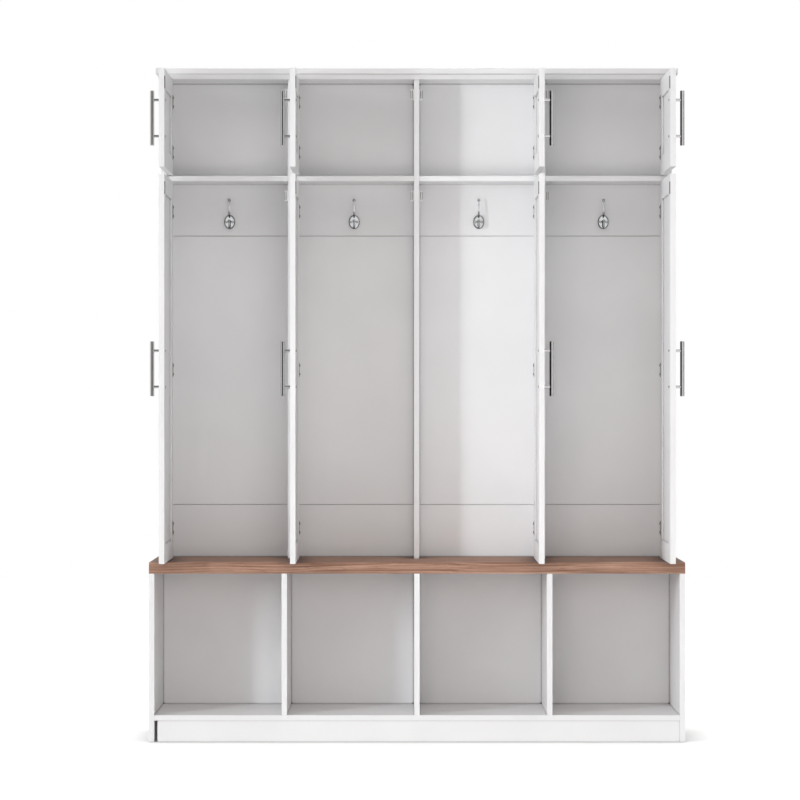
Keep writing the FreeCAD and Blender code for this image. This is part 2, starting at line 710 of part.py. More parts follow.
def build_pull():
    """One bar pull on the outer face of a door, about the middle of its height."""
    half = S.bar_length / 2
    radius = S.bar_diameter / 2
    bar = turned("pull_bar", (
        (0, -half),
        (radius - S.bar_chamfer, -half),
        (radius, S.bar_chamfer - half),
        (radius, half - S.bar_chamfer),
        (radius - S.bar_chamfer, half),
        (0, half),
    ))
    across = SWING - S.pull_projection
    along = FREE_EDGE + S.pull_inset
    length = S.door_thickness + S.pull_thread
    screw = round_screw("pull_screw", S.pull_screw, length, S.pull_screw_head)
    pieces = [group("pull_bar_placed", [bar], (across, along, 0))]
    holes = []
    screws = []
    depth = length + S.fit_gap
    for number, height in enumerate((-S.pull_spacing / 2, S.pull_spacing / 2)):
        at = (across, along, height)
        pieces.append(rod(f"pull_post_{number}", S.post_diameter, S.pull_projection, at, "right"))
        width = S.pull_screw + 2 * S.fit_gap
        start = (INNER_FACE - depth, along, height)
        holes.append(rod(f"pull_hole_{number}", width, depth, start, "right"))
        at = (INNER_FACE, along, height)
        screws.append(group(f"pull_screw_{number}", [screw], at, "right"))
    pull = cut("pull", fuse("pull_blank", pieces), holes)
    return SimpleNamespace(pieces=[pull] + screws, holes=holes)


def build_strike():
    """One strike plate on the inner face of a door, about its own middle."""
    along = FREE_EDGE + S.strike_inset
    half_width = S.strike_width / 2
    half_height = S.strike_height / 2
    low = (INNER_FACE, along - half_width, -half_height)
    high = (INNER_FACE + S.strike_thickness, along + half_width, half_height)
    at = (INNER_FACE + S.strike_thickness, along, 0)
    hole = group("strike_hole", [SUNK_HOLE], at, "right")
    plate = cut("strike_plate", block("strike_blank", low, high), [hole])
    screw = group("strike_screw", [SUNK_SCREW], at, "right")
    return SimpleNamespace(pieces=[plate, screw], holes=[hole])


def build_catch():
    """One magnetic catch on the far side of an opening, about its own middle."""
    front = S.door_thickness + S.strike_thickness + S.strike_clearance + S.pole_stand
    rear = front + S.catch_depth
    half = S.catch_height / 2
    face = OPENING - S.catch_width
    housing = block("catch_housing", (face, front, -half), (OPENING, rear, half))
    low = (OPENING - S.catch_flange, rear, -half)
    flange = block("catch_fixing", low, (OPENING, rear + S.flange_depth, half))
    poles = []
    slots = []
    middle = face + (S.catch_width - S.catch_flange) / 2
    for number, offset in enumerate((-S.pole_spacing / 2, S.pole_spacing / 2)):
        left = middle + offset - S.pole_thickness / 2
        low = (left, front - S.pole_stand, -S.pole_height / 2)
        high = (left + S.pole_thickness, front + S.pole_depth, S.pole_height / 2)
        poles.append(block(f"catch_pole_{number}", low, high))
        low = tuple(corner - S.fit_gap for corner in low)
        high = tuple(corner + S.fit_gap for corner in high)
        slots.append(block(f"catch_slot_{number}", low, high))
    screw = round_screw("catch_screw", S.screw_shank, S.catch_screw_length, S.screw_head)
    depth = S.catch_screw_length + S.fit_gap
    width = S.screw_shank + 2 * S.fit_gap
    holes = []
    screws = []
    for number, height in enumerate((-S.catch_height / 4, S.catch_height / 4)):
        at = (OPENING - S.catch_flange, rear + S.flange_depth / 2, height)
        screws.append(group(f"catch_screw_{number}", [screw], at, "left"))
        start = (at[0] + depth, at[1], height)
        holes.append(rod(f"catch_hole_{number}", width, depth, start, "left"))
    body = cut("catch_body", fuse("catch_blank", [housing, flange]), slots + holes)
    return SimpleNamespace(body=[body], steel=poles + screws, holes=holes)


def raised(pieces, name, heights):
    """Copies of fittings at each of the heights given."""
    return [group(f"{piece.Name}_{name}_{number}", [piece], (0, 0, height))
            for number, height in enumerate(heights)
            for piece in pieces]


def build_door(name, bottom, opening_height, hinge_heights, catch_height, fittings):
    """The doors of one row: frames, panels, pulls and fittings, in all four columns."""
    hinge, pull, strike = fittings
    low_end = bottom + S.door_gap
    high_end = bottom + opening_height - S.door_gap
    groove = S.panel_thickness / 2 + S.fit_gap
    hinge_stile_edge = -SWING - S.stile_width
    free_stile_edge = FREE_EDGE + S.stile_width
    low = (SWING, hinge_stile_edge, low_end)
    blank = block(name + "_hinge_stile_blank", low, (INNER_FACE, -SWING, high_end))
    low = (PANEL_MIDDLE - groove, hinge_stile_edge, low_end)
    high = (PANEL_MIDDLE + groove, hinge_stile_edge + S.groove_depth, high_end)
    slot = block(name + "_hinge_stile_groove", low, high)
    holes = raised(hinge.door_holes, name, hinge_heights)
    hinge_stile = cut(name + "_hinge_stile", blank, [slot] + holes)
    low = (SWING, FREE_EDGE, low_end)
    blank = block(name + "_free_stile_blank", low, (INNER_FACE, free_stile_edge, high_end))
    low = (PANEL_MIDDLE - groove, free_stile_edge - S.groove_depth, low_end)
    high = (PANEL_MIDDLE + groove, free_stile_edge, high_end)
    slot = block(name + "_free_stile_groove", low, high)
    middle = bottom + opening_height / 2
    holes = raised(pull.holes, name, [middle]) + raised(strike.holes, name, [catch_height])
    free_stile = cut(name + "_free_stile", blank, [slot] + holes)
    tongue = S.groove_depth - S.panel_play
    half_panel = S.panel_thickness / 2
    rails = []
    edges = ((low_end, low_end + S.door_rail_width), (high_end, high_end - S.door_rail_width))
    for number, (outer, inner) in enumerate(edges):
        inward = 1 if number == 0 else -1
        groove_floor = inner - inward * S.groove_depth
        lower, upper = (outer, inner) if number == 0 else (inner, outer)
        low = (SWING, free_stile_edge, lower)
        blank = block(f"{name}_rail_blank_{number}", low, (INNER_FACE, hinge_stile_edge, upper))
        lower, upper = (outer, groove_floor) if number == 0 else (groove_floor, outer)
        low = (PANEL_MIDDLE - half_panel, free_stile_edge - tongue, lower)
        high = (PANEL_MIDDLE + half_panel, hinge_stile_edge + tongue, upper)
        tenon = block(f"{name}_rail_tongue_{number}", low, high)
        lower, upper = (groove_floor, inner) if number == 0 else (inner, groove_floor)
        low = (PANEL_MIDDLE - groove, free_stile_edge, lower)
        high = (PANEL_MIDDLE + groove, hinge_stile_edge, upper)
        slot = block(f"{name}_rail_groove_{number}", low, high)
        grooved = cut(f"{name}_rail_grooved_{number}", blank, [slot])
        rails.append(fuse(f"{name}_rail_{number}", [grooved, tenon]))
    low = (
        PANEL_MIDDLE - half_panel,
        free_stile_edge - tongue,
        low_end + S.door_rail_width - tongue,
    )
    high = (
        PANEL_MIDDLE + half_panel,
        hinge_stile_edge + tongue,
        high_end - S.door_rail_width + tongue,
    )
    panel = block(name + "_panel", low, high)
    hardware = raised(hinge.door, name, hinge_heights)
    hardware += raised(strike.pieces, name, [catch_height])
    groups = (
        ("frame", [hinge_stile, free_stile] + rails),
        ("panel", [panel]),
        ("pull", raised(pull.pieces, name, [middle])),
        ("fittings", hardware),
    )
    for kind, pieces in groups:
        whole = group(f"{name}_{kind}_pieces", pieces)
        left_doors = [in_column([whole], column)[0] for column in range(COLUMNS // 2)]
        for column, door in enumerate(left_doors):
            node(f"{name}_{column + 1}_{kind}", door)
        for column, door in enumerate(reversed(left_doors), start=COLUMNS // 2):
            label = f"{name}_{column + 1}_{kind}"
            node(label, mirror(label, door))


def build_hooks():
    """The coat hooks, one in the middle of each locker, and their screws."""
    oval = DOC.addObject("Part::Ellipse", "hook_oval")
    bind(oval, "MajorRadius", S.plate_height / 2)
    bind(oval, "MinorRadius", S.plate_width / 2)
    place(oval, (0, 0, 0))
    blank = DOC.addObject("Part::Extrusion", "hook_plate_blank")
    blank.Base = oval
    blank.DirMode = "Custom"
    blank.Dir = DIRECTIONS["up"]
    blank.Solid = True
    bind(blank, "LengthFwd", S.plate_thickness)
    DOC.recompute()
    outer = [number for number, edge in enumerate(blank.Shape.Edges, start=1)
             if edge.BoundBox.ZMin > S.plate_thickness.value / 2]
    plate = DOC.addObject("Part::Fillet", "hook_plate")
    plate.Base = blank
    radius = S.plate_rounding.value
    plate.Edges = [(number, radius, radius) for number in outer]
    plate.Placement = FreeCAD.Placement(
        FreeCAD.Vector(),
        FreeCAD.Rotation(DIRECTIONS["up"], DIRECTIONS["left"], DIRECTIONS["front"], "ZXY"),
    )
    coat_tip = (S.coat_prong_lean - S.coat_prong_reach, S.coat_prong_rise)
    coat_prong = bent_rod("coat_prong", S.prong_diameter, (
        (-S.plate_thickness / 2, S.coat_prong_root),
        (-S.coat_prong_reach, S.coat_prong_root),
        (-S.coat_prong_reach, S.coat_prong_crest),
        coat_tip,
    ), S.coat_prong_bend)
    bag_tip = (-S.bag_prong_reach, S.bag_prong_tip)
    bag_prong = bent_rod("bag_prong", S.prong_diameter, (
        (-S.plate_thickness / 2, -S.bag_prong_root),
        (-S.bag_prong_slope, -S.bag_prong_drop),
        (-S.bag_prong_reach, -S.bag_prong_drop),
        bag_tip,
    ), S.bag_prong_bend)
    balls = [ball(f"prong_ball_{number}", S.prong_ball, (0, *tip))
             for number, tip in enumerate((coat_tip, bag_tip))]
    screws = []
    holes = []
    for number, offset in enumerate((-S.hook_screw_offset, S.hook_screw_offset)):
        at = (offset, -S.plate_thickness, 0)
        screws.append(group(f"hook_screw_{number}", [ROUND_SCREW], at, "front"))
        holes.append(group(f"hook_hole_{number}", [ROUND_HOLE], at, "front"))
    hook = cut("hook", fuse("hook_blank", [plate, coat_prong, bag_prong] + balls), holes)
    height = SHELF_UNDERSIDE - S.rail_height + S.hook_rise
    hooks = []
    rail_holes = []
    for column in range(COLUMNS):
        at = (FIRST_OPENING + PITCH * column + OPENING / 2, BACK_FACE, height)
        hooks.append(group(f"hook_{column}", [hook] + screws, at))
        rail_holes.append(group(f"hook_rail_holes_{column}", holes, at))
    node("coat_hooks", group("coat_hooks", hooks))
    return rail_holes


def build():
    """Builds every piece of the hall tree."""
    fittings = (build_hinge(), build_pull(), build_strike())
    hinge = fittings[0]
    catch = build_catch()
    rows = (
        ("cupboard_door", SHELF_TOP, S.cupboard_height, S.cupboard_hinge_inset, 2),
        ("locker_door", S.bench_height, S.locker_height, S.locker_hinge_inset, 3),
    )
    frame_side = {"leaves": [], "pins": [], "catches": [], "steel": []}
    hinge_holes = []
    catch_holes = []
    for name, bottom, height, inset, count in rows:
        first = bottom + S.door_gap + inset
        spacing = (height - 2 * S.door_gap - 2 * inset) / (count - 1)
        hinge_heights = [first + spacing * number for number in range(count)]
        catch_height = bottom + height - S.catch_drop
        build_door(name, bottom, height, hinge_heights, catch_height, fittings)
        frame_side["leaves"] += raised(hinge.frame, name, hinge_heights)
        frame_side["pins"] += raised(hinge.pin, name, hinge_heights)
        frame_side["catches"] += raised(catch.body, name, [catch_height])
        frame_side["steel"] += raised(catch.steel, name, [catch_height])
        hinge_holes += raised(hinge.frame_holes, name, hinge_heights)
        catch_holes += raised(catch.holes, name, [catch_height])
    build_bench()
    build_base()
    build_cabinet(hinge_holes, catch_holes)
    build_backs(build_hooks())
    build_crown()
    build_dowels()
    both_sides("frame_hinge_leaves", frame_side["leaves"])
    both_sides("hinge_pins", frame_side["pins"])
    both_sides("door_catches", frame_side["catches"])
    both_sides("catch_steel", frame_side["steel"])


def check_and_write():
    """Stops at a failed object or a bad shape, and then writes one file for each node."""
    DOC.recompute()
    for thing in DOC.Objects:
        if "Invalid" in thing.State or "Error" in thing.State:
            raise RuntimeError(f"{thing.Label} failed: {thing.State}")
    for piece in NODES:
        if piece.Shape.isNull() or not piece.Shape.isValid():
            raise RuntimeError(f"{piece.Label} has no valid shape")
    os.makedirs("parts", exist_ok=True)
    for piece in NODES:
        piece.Shape.exportStep(f"parts/{piece.Label}.step")
    print(f"{len(NODES)} nodes, {sum(len(piece.Shape.Solids) for piece in NODES)} solids")


build()
check_and_write()
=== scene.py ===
from math import radians

import bmesh
import bpy
from bpy.props import FloatProperty, FloatVectorProperty, PointerProperty
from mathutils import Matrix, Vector

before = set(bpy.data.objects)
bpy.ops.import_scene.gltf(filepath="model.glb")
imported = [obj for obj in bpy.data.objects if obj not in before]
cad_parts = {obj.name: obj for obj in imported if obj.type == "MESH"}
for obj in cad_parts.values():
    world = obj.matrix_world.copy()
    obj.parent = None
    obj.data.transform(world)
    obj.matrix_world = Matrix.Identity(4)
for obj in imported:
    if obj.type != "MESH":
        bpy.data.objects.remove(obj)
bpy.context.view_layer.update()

bl_info = {
    "name": "Hall tree",
    "version": (1, 0, 0),
    "blender": (4, 5, 0),
    "location": "View3D > Sidebar > Hall tree",
    "description": "Finishes a hall tree with a walnut bench, white lockers and nickel pulls",
    "category": "Object",
}

MM = 0.001

BACK_SHEETS = ("base_back", "locker_back", "cupboard_back")
CARCASS_BOARDS = (
    "base_side_left", "base_side_right", "base_dividers", "base_floor",
    "plinth_front", "plinth_rear", "centre_support",
    "locker_side_left", "locker_side_right",
    "partition_left", "partition_centre", "partition_right",
    "cupboard_shelves", "top_panel", "cap_board", "crown_moulding",
    "lower_rail", "hook_rail",
)
CARCASS_STEEL = ("frame_hinge_leaves", "hinge_pins", "catch_steel")
DOORS = tuple(f"{row}_door_{number}" for row in ("cupboard", "locker") for number in range(1, 5))

# Heights on the coat hooks over which an upper prong leaves its root and reaches its ball; between them the
# prong carries a painted bright reflection.
PRONG_ROOT = (1500 * MM, 1503 * MM)
PRONG_BALL = (1530 * MM, 1532 * MM)

# Hinge lines of the left-hand doors, and outer faces of the open right-hand doors, in millimetres
# to the right of the middle.
LEFT_HINGE_LINES = (-714, -352.75)
RIGHT_DOOR_FACES = {3: 350.75, 4: 712}

# Place of the origin seen from the heart of the bench's tree, in metres, and the scales that let
# its rings run out slowly along the board.
FROM_HEART = (0.0, 0.34, -0.36)
RING_SCALES = (0.10, 1.0, 1.0)

# Edges sharper than this are softened, in this many steps, once corners this near are joined.
SHARP_EDGE = radians(40)
EDGE_STEPS = 2
JOINED_CORNERS = 0.01 * MM

# Share of the painted shade in covered corners, where boards are glued, and where a sheet sits loose in a
# groove.
GLUED_PAINTED_SHADE = 0.5
LOOSE_PAINTED_SHADE = 0.95

# Noise stays mostly between these two values.
NOISE_LOW = 0.3
NOISE_HIGH = 0.7
NOISE_SPAN = {"From Min": NOISE_LOW, "From Max": NOISE_HIGH}

# Rays that look for covered corners, and the wave texture's own period at a scale of one.
CORNER_RAYS = 4
WAVE_PERIOD = 0.314

# Colour sockets of Blender's Mix node, whose names aren't unique.
MIX_A = 6
MIX_B = 7
MIX_RESULT = 2


def linear(hex_colour):
    """Turns an sRGB hex value into linear red, green, blue and an alpha of one."""
    channels = (int(hex_colour[start:start + 2], 16) / 255 for start in (1, 3, 5))
    return tuple(
        value / 12.92 if value <= 0.04045 else ((value + 0.055) / 1.055) ** 2.4
        for value in channels
    ) + (1.0,)


def colour(name, description, hex_colour):
    """A colour that a user can change."""
    return FloatVectorProperty(
        name=name, description=description, subtype="COLOR", size=4,
        min=0.0, max=1.0, default=linear(hex_colour))


def length(name, description, millimetres):
    """A length that a user can change, given in millimetres."""
    return FloatProperty(
        name=name, description=description, unit="LENGTH", subtype="DISTANCE",
        min=0.0, precision=5, default=millimetres * MM)


def place(name, description, metres):
    """A place that a user can change, given in metres."""
    return FloatVectorProperty(
        name=name, description=description, subtype="TRANSLATION", unit="LENGTH",
        size=3, default=metres)


def strength(name, description, value):
    """Strength of a light that a user can change."""
    return FloatProperty(name=name, description=description, min=0.0, default=value)


class HallTreeFinish(bpy.types.PropertyGroup):
    """Colours and fine sizes of the finishes."""

    lacquer: colour("Lacquer", "Satin white lacquer on the boards", "#EEEEEF")
    lacquer_shade: colour("Lacquer shade", "Thinner lacquer, a little greyer", "#E9E9EA")
    cloud: length("Clouds", "Size of the clouds of thinner lacquer", 220)
    orange_peel: length("Orange peel", "Size of the ripples in the sprayed lacquer", 4)
    # Painted shade: the joint colour darkens the lacquer in covered corners along the joints, as far as the
    # joint width reaches.
    painted_joint_shade: colour("Joint", "Thin dark line along the joints", "#5C5651")
    painted_shade_reach: length("Joint width", "How far a joint's dark line reaches", 7)
    edge: length("Edge", "Softened edge of boards and doors", 1.0)
    hardboard: colour("Hardboard", "Raw rear of the thin back sheets", "#9C7B5B")
    hardboard_fibre: colour("Fibre", "Darker fibres in the hardboard", "#7E5F43")
    fibre: length("Fibre size", "Size of the fibres in the hardboard", 3)
    hardboard_damp: colour("Mottling", "Broad darker patches in the hardboard", "#5E452F")
    mottle: length("Mottling size", "Size of the darker patches in the hardboard", 130)
    walnut: colour("Walnut", "Early wood of the bench", "#C19B86")
    walnut_late: colour("Late wood", "Darker late wood of the bench", "#7F5C4B")
    ring: length("Growth rings", "Spacing of the growth rings in the walnut", 9)
    streak: length("Streaks", "Width of the streaks along the grain", 4)
    wander: length("Wander", "Distance over which the grain wanders", 420)
    drift: length("Drift", "How far the grain wanders to each side", 4)
    walnut_pore: colour("Pores", "Open pores in the walnut", "#5E4438")
    pore: length("Pore width", "Width of the open pores", 0.9)
    # Painted shade on the bench: this colour and its reach darken it near the boards and doors above it.
    walnut_painted_shade: colour("Gathered oil", "Darker oil in the corners of the bench", "#2E211B")
    walnut_shade_reach: length("Oil corner", "How far the darker oil reaches from a corner", 60)
    nickel: colour("Nickel", "Polished nickel plate of the pulls", "#CDCCCB")
    nickel_shade: colour("Nickel shade", "Duller rings in the nickel plate", "#B9B8B7")
    turning: length("Turning marks", "Spacing of the turning marks on the bars", 0.8)
    # Painted reflections on the hooks: the bright prong colour and the dark rim colour stand in for what
    # the polished metal reflects.
    hook: colour("Hook", "Polished plate of the coat hooks", "#D2D3D4")
    hook_painted_bright_prong: colour("Bright prong", "Polish on the slender upper prongs", "#F4F4F4")
    hook_painted_dark_rim: colour("Dark rim", "Duller plate where no polish reaches", "#4B4B4D")
    smudge: length("Smudges", "Size of the smudges in the polish of the hooks", 9)
    zinc: colour("Zinc", "Zinc plate of hinges, screws and strikes", "#868482")
    zinc_bloom: colour("Zinc bloom", "Duller patches in the zinc plate", "#716F6D")
    bloom: length("Bloom size", "Size of the duller patches in the zinc plate", 6)
    plastic: colour("Plastic", "Moulded housings of the catches", "#F2F2F1")
    plastic_flow: colour("Plastic flow", "Greyer flow marks in the housings", "#E4E4E3")
    flow: length("Flow marks", "Width of the flow marks in the housings", 8)
    spark: length("Spark texture", "Size of the mould's spark texture", 0.6)
    catch_edge: length("Catch edge", "Softened edge of the catches", 0.4)
    beech: colour("Beech", "Turned beech of the dowels", "#C9A27C")
    beech_fleck: colour("Beech fleck", "Short flecks in the beech", "#A67C57")
    fleck: length("Fleck width", "Width of the flecks in the beech", 0.9)


class HallTreeStage(bpy.types.PropertyGroup):
    """Camera, light and floor round the hall tree."""

    camera_place: place("Camera", "Where the camera stands", (-0.0476, -9.107, 0.9567))
    lens: FloatProperty(
        name="Lens", description="Focal length in millimetres", unit="CAMERA", min=1.0, default=143.73)
    sensor: FloatProperty(
        name="Sensor", description="Width of the film in millimetres", unit="CAMERA", min=1.0, default=36.0)
    key_place: place("Key light", "Where the tall key light stands", (-2.88, -2.86, 1.5))
    key_turn: FloatProperty(
        name="Key turn", description="How far the key light is turned from the front to the right",
        subtype="ANGLE", unit="ROTATION", default=radians(80))
    key_strength: strength("Key strength", "Strength of the key light", 3.9)
    key_width: length("Key width", "Width of the key light", 340)
    key_height: length("Key height", "Height of the key light", 2000)
    fill_place: place("Fill light", "Where the low fill light stands", (0.0, -3.2, 0.75))
    fill_strength: strength("Fill strength", "Strength of the fill light", 18.5)
    fill_width: length("Fill width", "Width of the square fill light", 1200)
    room_light: strength("Room light", "Light from the walls of the room", 0.05)
    top_light: strength("Top light", "Broad light from above the front", 1.7)
    left_light: strength("Left light", "Broad light from the left", 1.5)
    right_light: strength("Right light", "Broad light from the right", 0.3)
    rear_light: strength("Rear light", "Broad light from behind", 1.1)
    floor: colour("Floor", "Pale floor under the hall tree", "#E8E8E8")
    floor_light: strength("Floor light", "Light that the pale floor adds", 0.15)
    floor_seen: strength("Seen floor", "Glow that lifts the floor to white where it is seen", 0.8)
    floor_shadow: length("Floor shadow", "How far from the hall tree the glow fades", 120)
    floor_width: length("Floor width", "Width of the floor", 16000)
    card: colour("Dark card", "Dark cards that only reflections show", "#26262A")
    grey_card: colour("Grey card", "Card at the right that only reflections show", "#C8C8C8")


def add_node(tree, kind, inputs=None, output=0, **settings):
    """Adds a node with its settings, sets or links its sockets, and gives back one of its outputs."""
    node = tree.nodes.new(kind)
    for name, value in settings.items():
        setattr(node, name, value)
    for socket, value in (inputs or {}).items():
        if isinstance(value, bpy.types.NodeSocket):
            tree.links.new(value, node.inputs[socket])
        else:
            node.inputs[socket].default_value = value
    return node.outputs[output] if node.outputs else None


def empty_material(name):
    """A new material, and its tree without any nodes."""
    material = bpy.data.materials.new(name)
    material.use_nodes = True
    material.node_tree.nodes.clear()
    return material, material.node_tree


def surface(tree, sockets):
    """Ends a material with its shader, whose sockets are set or linked."""
    shader = add_node(tree, "ShaderNodeBsdfPrincipled", sockets)
    add_node(tree, "ShaderNodeOutputMaterial", {"Surface": shader})


def grain(tree, size, detail=2.0, roughness=0.5, stretch=(1, 1, 1), spot=None):
    """Noise of a real size in metres that stays with its piece, longer where it is stretched."""
    if spot is None:
        spot = add_node(tree, "ShaderNodeTexCoord", output="Object")
    steps = tuple(1 / (size * factor) for factor in stretch)
    scaled = add_node(tree, "ShaderNodeMapping", {"Vector": spot, "Scale": steps})
    return add_node(tree, "ShaderNodeTexNoise", {
        "Vector": scaled, "Scale": 1.0, "Detail": detail, "Roughness": roughness})


def tint(tree, pattern, base, other, start=NOISE_LOW, end=NOISE_HIGH, share=1.0):
    """Moves a colour to another one, by a share at most, as a pattern goes from start to end."""
    moved = add_node(tree, "ShaderNodeMapRange", {
        "Value": pattern, "From Min": start, "From Max": end, "To Max": share})
    return add_node(
        tree, "ShaderNodeMix", {0: moved, MIX_A: base, MIX_B: other}, MIX_RESULT, data_type="RGBA")


def faced_along_y(tree):
    """How far a surface faces the rear: minus one at the front, one at the rear."""
    normal = add_node(tree, "ShaderNodeNewGeometry", output="Normal")
    return add_node(tree, "ShaderNodeSeparateXYZ", {0: normal}, "Y")


def lacquer_tone(tree, finish, painted_shade_share):
    """White of the lacquer, a little cloudy, with painted shade darkening it in the covered corners along
    the joints.
    """
    cloud = grain(tree, finish.cloud, detail=3.0)
    white = tint(tree, cloud, finish.lacquer, finish.lacquer_shade)
    # Painted shade: an occlusion test darkens the white towards the joint colour in covered corners.
    corner = add_node(
        tree, "ShaderNodeAmbientOcclusion", {"Distance": finish.painted_shade_reach}, "AO", samples=CORNER_RAYS)
    return tint(tree, corner, white, finish.painted_joint_shade, start=0.80, end=0.52, share=painted_shade_share)


def sprayed_surface(tree, finish, tone):
    """Ends a lacquered material: the ripples of the spray blur its shine and bend it a little."""
    peel = grain(tree, finish.orange_peel)
    surface(tree, {
        "Base Color": tone,
        "IOR": 1.5,
        "Roughness": add_node(tree, "ShaderNodeMapRange", {
            "Value": peel, **NOISE_SPAN, "To Min": 0.36, "To Max": 0.46}),
        "Normal": add_node(tree, "ShaderNodeBump", {
            "Height": peel, "Distance": 0.05 * MM, "Strength": 0.25}),
    })


def satin_lacquer(finish, name, painted_shade_share):
    """Sprayed white lacquer on board: softly shining, a faint orange peel, and painted shade in the corners
    along joints.
    """
    material, tree = empty_material(name)
    sprayed_surface(tree, finish, lacquer_tone(tree, finish, painted_shade_share))
    return material


def hardboard_sheet(finish):
    """Thin hardboard, lacquered white on its face and left raw at the rear: brown and fibrous."""
    material, tree = empty_material("hardboard_lacquered_on_its_face")
    # Real fibres are about a tenth of a millimetre thick, and are drawn coarser so that they show.
    fibre = grain(tree, finish.fibre, detail=5.0, roughness=0.7, stretch=(2.5, 1, 0.8))
    raw = tint(tree, fibre, finish.hardboard, finish.hardboard_fibre)
    mottle = grain(tree, finish.mottle, detail=4.0, roughness=0.6)
    raw = tint(tree, mottle, raw, finish.hardboard_damp, share=0.35)
    face = lacquer_tone(tree, finish, LOOSE_PAINTED_SHADE)
    sprayed_surface(tree, finish, tint(tree, faced_along_y(tree), face, raw, start=0.4, end=0.6))
    return material


def oiled_walnut(finish):
    """Planed and oiled walnut: brown bands along the grain, dark open pores, a low sheen."""
    material, tree = empty_material("oiled_walnut_planed")
    spot = add_node(tree, "ShaderNodeTexCoord", output="Object")
    # The grain wanders slowly up and down on its way along the board.
    wander = grain(tree, finish.wander, detail=1.0, spot=spot)
    drift = add_node(tree, "ShaderNodeMapRange", {
        "Value": wander, **NOISE_SPAN, "To Min": -finish.drift, "To Max": finish.drift})
    shift = add_node(tree, "ShaderNodeCombineXYZ", {"Y": drift, "Z": drift})
    spot = add_node(tree, "ShaderNodeVectorMath", {0: spot, 1: shift}, operation="ADD")
    streaks = grain(tree, finish.streak, detail=4.0, roughness=0.65, stretch=(130, 1, 1), spot=spot)
    wood = tint(tree, streaks, finish.walnut, finish.walnut_late, start=0.36, end=0.64)
    # The board was sawn beside the heart of the tree, which lies low in front of it.
    sawn = add_node(tree, "ShaderNodeMapping", {
        "Vector": spot, "Location": FROM_HEART, "Scale": RING_SCALES})
    rings = add_node(tree, "ShaderNodeTexWave", {
        "Vector": sawn, "Scale": WAVE_PERIOD / finish.ring, "Distortion": 0.8,
        "Detail": 3.0, "Detail Scale": 0.8, "Detail Roughness": 0.55,
    }, "Fac", wave_type="RINGS", rings_direction="X", wave_profile="SIN")
    wood = tint(tree, rings, wood, finish.walnut_late, start=0.45, end=1.0, share=0.3)
    # Real pores are about 0.2 mm wide, and are drawn coarser so that they show.
    pores = grain(tree, finish.pore, stretch=(40, 1, 1), spot=spot)
    open_pores = add_node(tree, "ShaderNodeMapRange", {
        "Value": pores, "From Min": 0.60, "From Max": 0.70, "To Max": 0.7})
    wood = tint(tree, open_pores, wood, finish.walnut_pore, start=0.0, end=1.0)
    # Painted shade: an occlusion test darkens the bench where the boards above meet it and where the doors
    # stand over it.
    corner = add_node(
        tree, "ShaderNodeAmbientOcclusion", {"Distance": finish.walnut_shade_reach}, "AO", samples=CORNER_RAYS)
    wood = tint(tree, corner, wood, finish.walnut_painted_shade, start=0.95, end=0.50, share=0.85)
    surface(tree, {
        "Base Color": wood,
        "IOR": 1.5,
        "Specular IOR Level": 0.3,
        "Roughness": add_node(tree, "ShaderNodeMapRange", {
            "Value": streaks, **NOISE_SPAN, "To Min": 0.55, "To Max": 0.70}),
        "Normal": add_node(tree, "ShaderNodeBump", {
            "Height": open_pores, "Distance": -0.25 * MM, "Strength": 0.5}),
    })
    return material


def polished_nickel(finish):
    """Turned steel bar under polished nickel: a warm grey mirror, blurred a little by the lathe's rings."""
    material, tree = empty_material("polished_nickel_on_turned_steel")
    # The real rings are a tenth of a millimetre apart, and are drawn coarser so that they show.
    rings = grain(tree, finish.turning, stretch=(40, 40, 1))
    surface(tree, {
        "Base Color": tint(tree, rings, finish.nickel, finish.nickel_shade),
        "Metallic": 1.0,
        "Roughness": add_node(tree, "ShaderNodeMapRange", {
            "Value": rings, **NOISE_SPAN, "To Min": 0.05, "To Max": 0.09}),
        "Normal": add_node(tree, "ShaderNodeBump", {
            "Height": rings, "Distance": 0.01 * MM, "Strength": 0.15}),
    })
    return material


def cast_hooks(finish):
    """Cast zinc under nickel, with painted reflections: bright where it faces the front and on the slender
    upper prongs, dark where it faces aside, round the rim and on the other prongs.
    """
    material, tree = empty_material("polished_nickel_on_cast_zinc")
    # Painted reflection: the plate stays bright where it faces the front and turns dark where it faces
    # aside.
    plate = tint(tree, faced_along_y(tree), finish.hook, finish.hook_painted_dark_rim, start=-0.93, end=-0.70)
    # Painted reflection: the slender upper prong is painted bright all round, between its root and its
    # ball.
    spot = add_node(tree, "ShaderNodeTexCoord", output="Object")
    height = add_node(tree, "ShaderNodeSeparateXYZ", {0: spot}, "Z")
    above_root = add_node(tree, "ShaderNodeMapRange", {
        "Value": height, "From Min": PRONG_ROOT[0], "From Max": PRONG_ROOT[1]})
    below_ball = add_node(tree, "ShaderNodeMapRange", {
        "Value": height, "From Min": PRONG_BALL[1], "From Max": PRONG_BALL[0]})
    prong = add_node(tree, "ShaderNodeMath", {0: above_root, 1: below_ball}, operation="MULTIPLY")
    smudge = grain(tree, finish.smudge, detail=4.0)
    surface(tree, {
        "Base Color": tint(tree, prong, plate, finish.hook_painted_bright_prong, start=0.0, end=1.0),
        "Metallic": 1.0,
        "Roughness": add_node(tree, "ShaderNodeMapRange", {
            "Value": smudge, **NOISE_SPAN, "To Min": 0.08, "To Max": 0.18}),
    })
    return material


def plated_steel(finish):
    """Pressed steel under bright zinc: mid grey with duller patches of bloom."""
    material, tree = empty_material("bright_zinc_on_pressed_steel")
    bloom = grain(tree, finish.bloom, detail=3.0)
    surface(tree, {
        "Base Color": tint(tree, bloom, finish.zinc, finish.zinc_bloom),
        "Metallic": 1.0,
        "Roughness": add_node(tree, "ShaderNodeMapRange", {
            "Value": bloom, **NOISE_SPAN, "To Min": 0.26, "To Max": 0.44}),
    })
    return material


